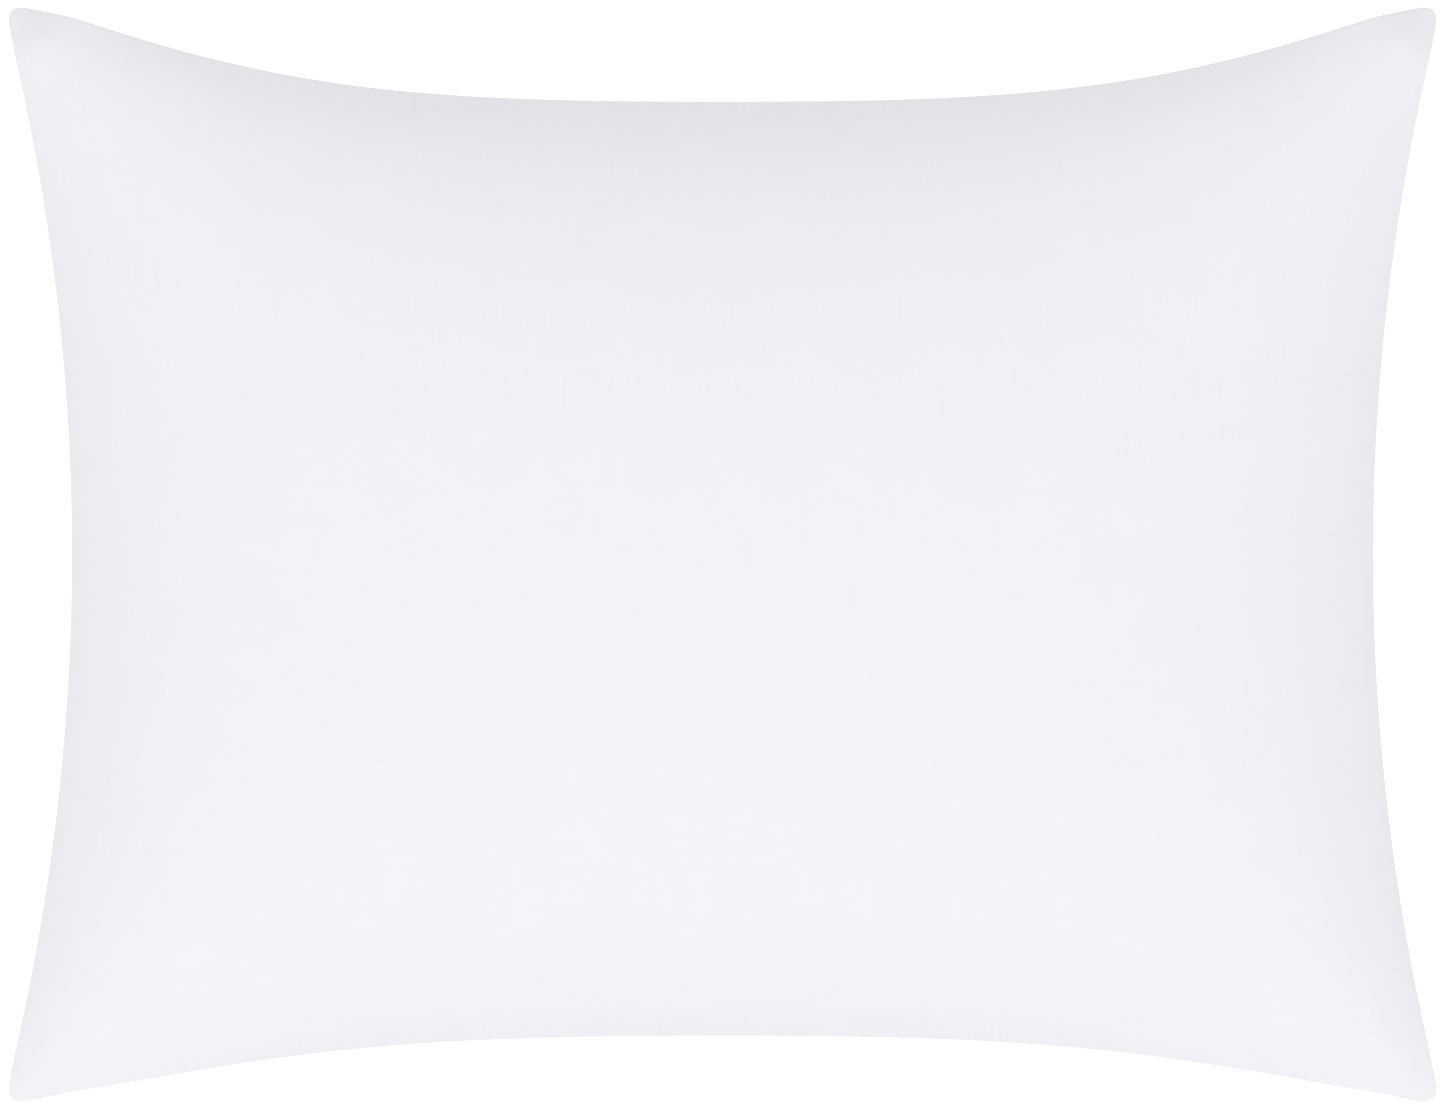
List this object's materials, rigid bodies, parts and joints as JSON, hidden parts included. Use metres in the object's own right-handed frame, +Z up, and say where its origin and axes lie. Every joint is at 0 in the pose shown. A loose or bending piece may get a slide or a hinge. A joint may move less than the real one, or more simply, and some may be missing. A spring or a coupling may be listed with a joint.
{
  "type": "bed pillow",
  "caption": "Plump white knife-edge bed pillow with pulled-in sides and pointed corners; a woven cover with a hidden zip under one short edge holds a fibre-filled inner pillow.",
  "frame": {"origin": "on the surface that the pillow lies on, under the middle of the pillow", "axes": "+Z up out of the crown, +X along the long side towards the zip, +Y along the short side"},
  "size_m": [0.652, 0.5, 0.178],
  "materials": {
    "cover_cloth": "matte",
    "liner_cloth": "matte",
    "zip_tape": "matte",
    "zip_coil": "satin",
    "zip_metal": "satin",
    "thread": "matte",
    "label_ribbon": "satin",
    "fibre": "matte"
  },
  "bodies": {
    "pillow": {"cover_front": "cover_cloth", "cover_back": "cover_cloth", "cover_seam_thread": "thread", "zip_tape_front": "zip_tape", "zip_tape_back": "zip_tape", "zip_coil_front": "zip_coil", "zip_coil_back": "zip_coil", "zip_top_stops": "zip_coil", "zip_bottom_stop": "zip_coil", "zip_stitching_front": "thread", "zip_stitching_back": "thread", "insert_front": "liner_cloth", "insert_back": "liner_cloth", "insert_seam_thread": "thread", "insert_closing_thread": "thread", "care_label": "label_ribbon", "fibre_fill": "fibre"},
    "slider": {"zip_slider": "zip_metal"},
    "pull": {"zip_pull": "zip_metal"}
  },
  "joints": [
    {"name": "zip_slide", "type": "hinge", "parent": "pillow", "child": "slider", "pos_m": [1.30063, 0, 0.074], "axis": [0, 0, 1], "range_deg": [0, 20.67]},
    {"name": "zip_pull_swing", "type": "hinge", "parent": "slider", "child": "pull", "pos_m": [0.29883, 0.18266, 0.0708], "axis": [-0.9838, 0.1794, 0], "range_deg": [-85, 85]}
  ]
}
